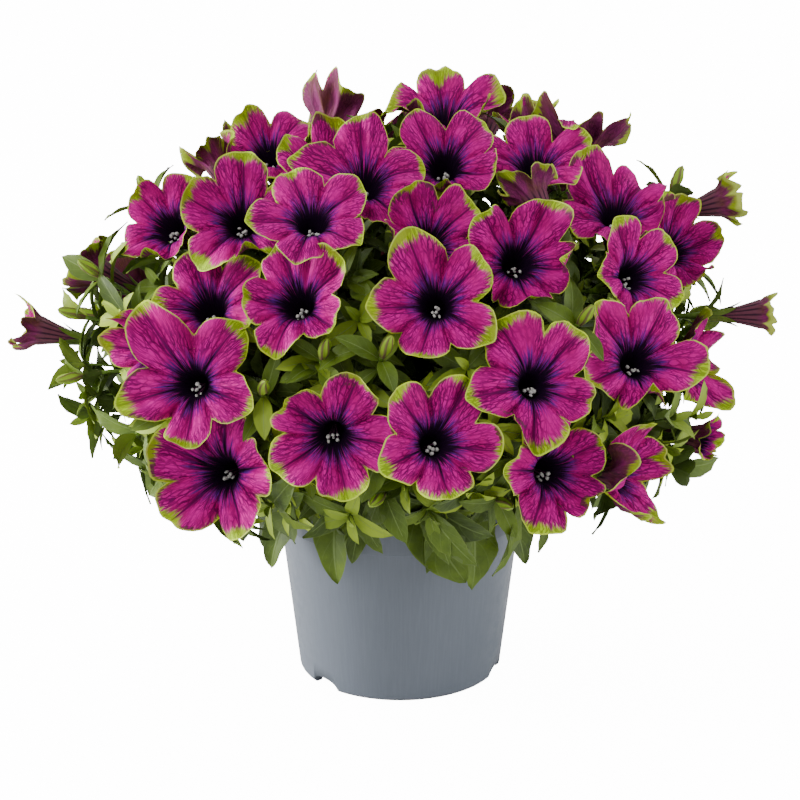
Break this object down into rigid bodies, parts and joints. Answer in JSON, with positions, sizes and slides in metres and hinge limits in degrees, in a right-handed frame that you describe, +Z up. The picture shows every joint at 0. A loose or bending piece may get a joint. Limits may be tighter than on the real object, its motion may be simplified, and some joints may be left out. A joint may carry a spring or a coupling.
{
  "type": "potted petunia",
  "caption": "Mounded petunia in a round tapered nursery pot, with magenta green-edged funnel blooms, leafy stems and dark peat soil.",
  "frame": {"origin": "centre of the circle that the pot's foot ring makes on the surface it stands on", "axes": "+Z up along the pot's axis, +X to the right and along the plant's widest spread as seen from the front, -Y towards the front"},
  "size_m": [0.3585, 0.3076, 0.2885],
  "materials": {
    "pot_plastic": "matte blue-grey polypropylene",
    "peat_soil": "moist dark peat",
    "green_leaf": "matte, finely hairy",
    "petal": "velvety, dark throat, dark veins and green margin"
  },
  "bodies": {
    "root": {"pot": "pot_plastic", "soil": "peat_soil", "leafy_stem_1": "green_leaf", "leafy_stem_2": "green_leaf", "leafy_stem_3": "green_leaf", "leafy_stem_4": "green_leaf", "leafy_stem_5": "green_leaf", "leafy_stem_6": "green_leaf", "leafy_stem_7": "green_leaf", "leafy_stem_8": "green_leaf", "bloom_01": "petal", "bloom_02": "petal", "bloom_03": "petal", "bloom_04": "petal", "bloom_05": "petal", "bloom_06": "petal", "bloom_07": "petal", "bloom_08": "petal", "bloom_09": "petal", "bloom_10": "petal", "bloom_11": "petal", "bloom_12": "petal", "bloom_13": "petal", "bloom_14": "petal", "bloom_15": "petal", "bloom_16": "petal", "bloom_17": "petal", "bloom_18": "petal", "bloom_19": "petal", "bloom_20": "petal", "bloom_21": "petal", "bloom_22": "petal", "bloom_23": "petal", "bloom_24": "petal", "bloom_25": "petal", "bloom_26": "petal", "bloom_27": "petal", "bloom_28": "petal", "bloom_29": "petal", "bloom_30": "petal", "bloom_31": "petal", "bloom_32": "petal", "bloom_33": "petal", "bloom_34": "petal", "bloom_35": "petal", "bloom_36": "petal", "bloom_37": "petal", "bloom_38": "petal", "bloom_39": "petal", "bloom_40": "petal", "bloom_41": "petal", "bloom_42": "petal", "bloom_43": "petal", "bloom_44": "petal", "bloom_45": "petal", "bloom_46": "petal", "bloom_47": "petal", "bloom_48": "petal", "bloom_49": "petal", "bloom_50": "petal"}
  },
  "joints": []
}
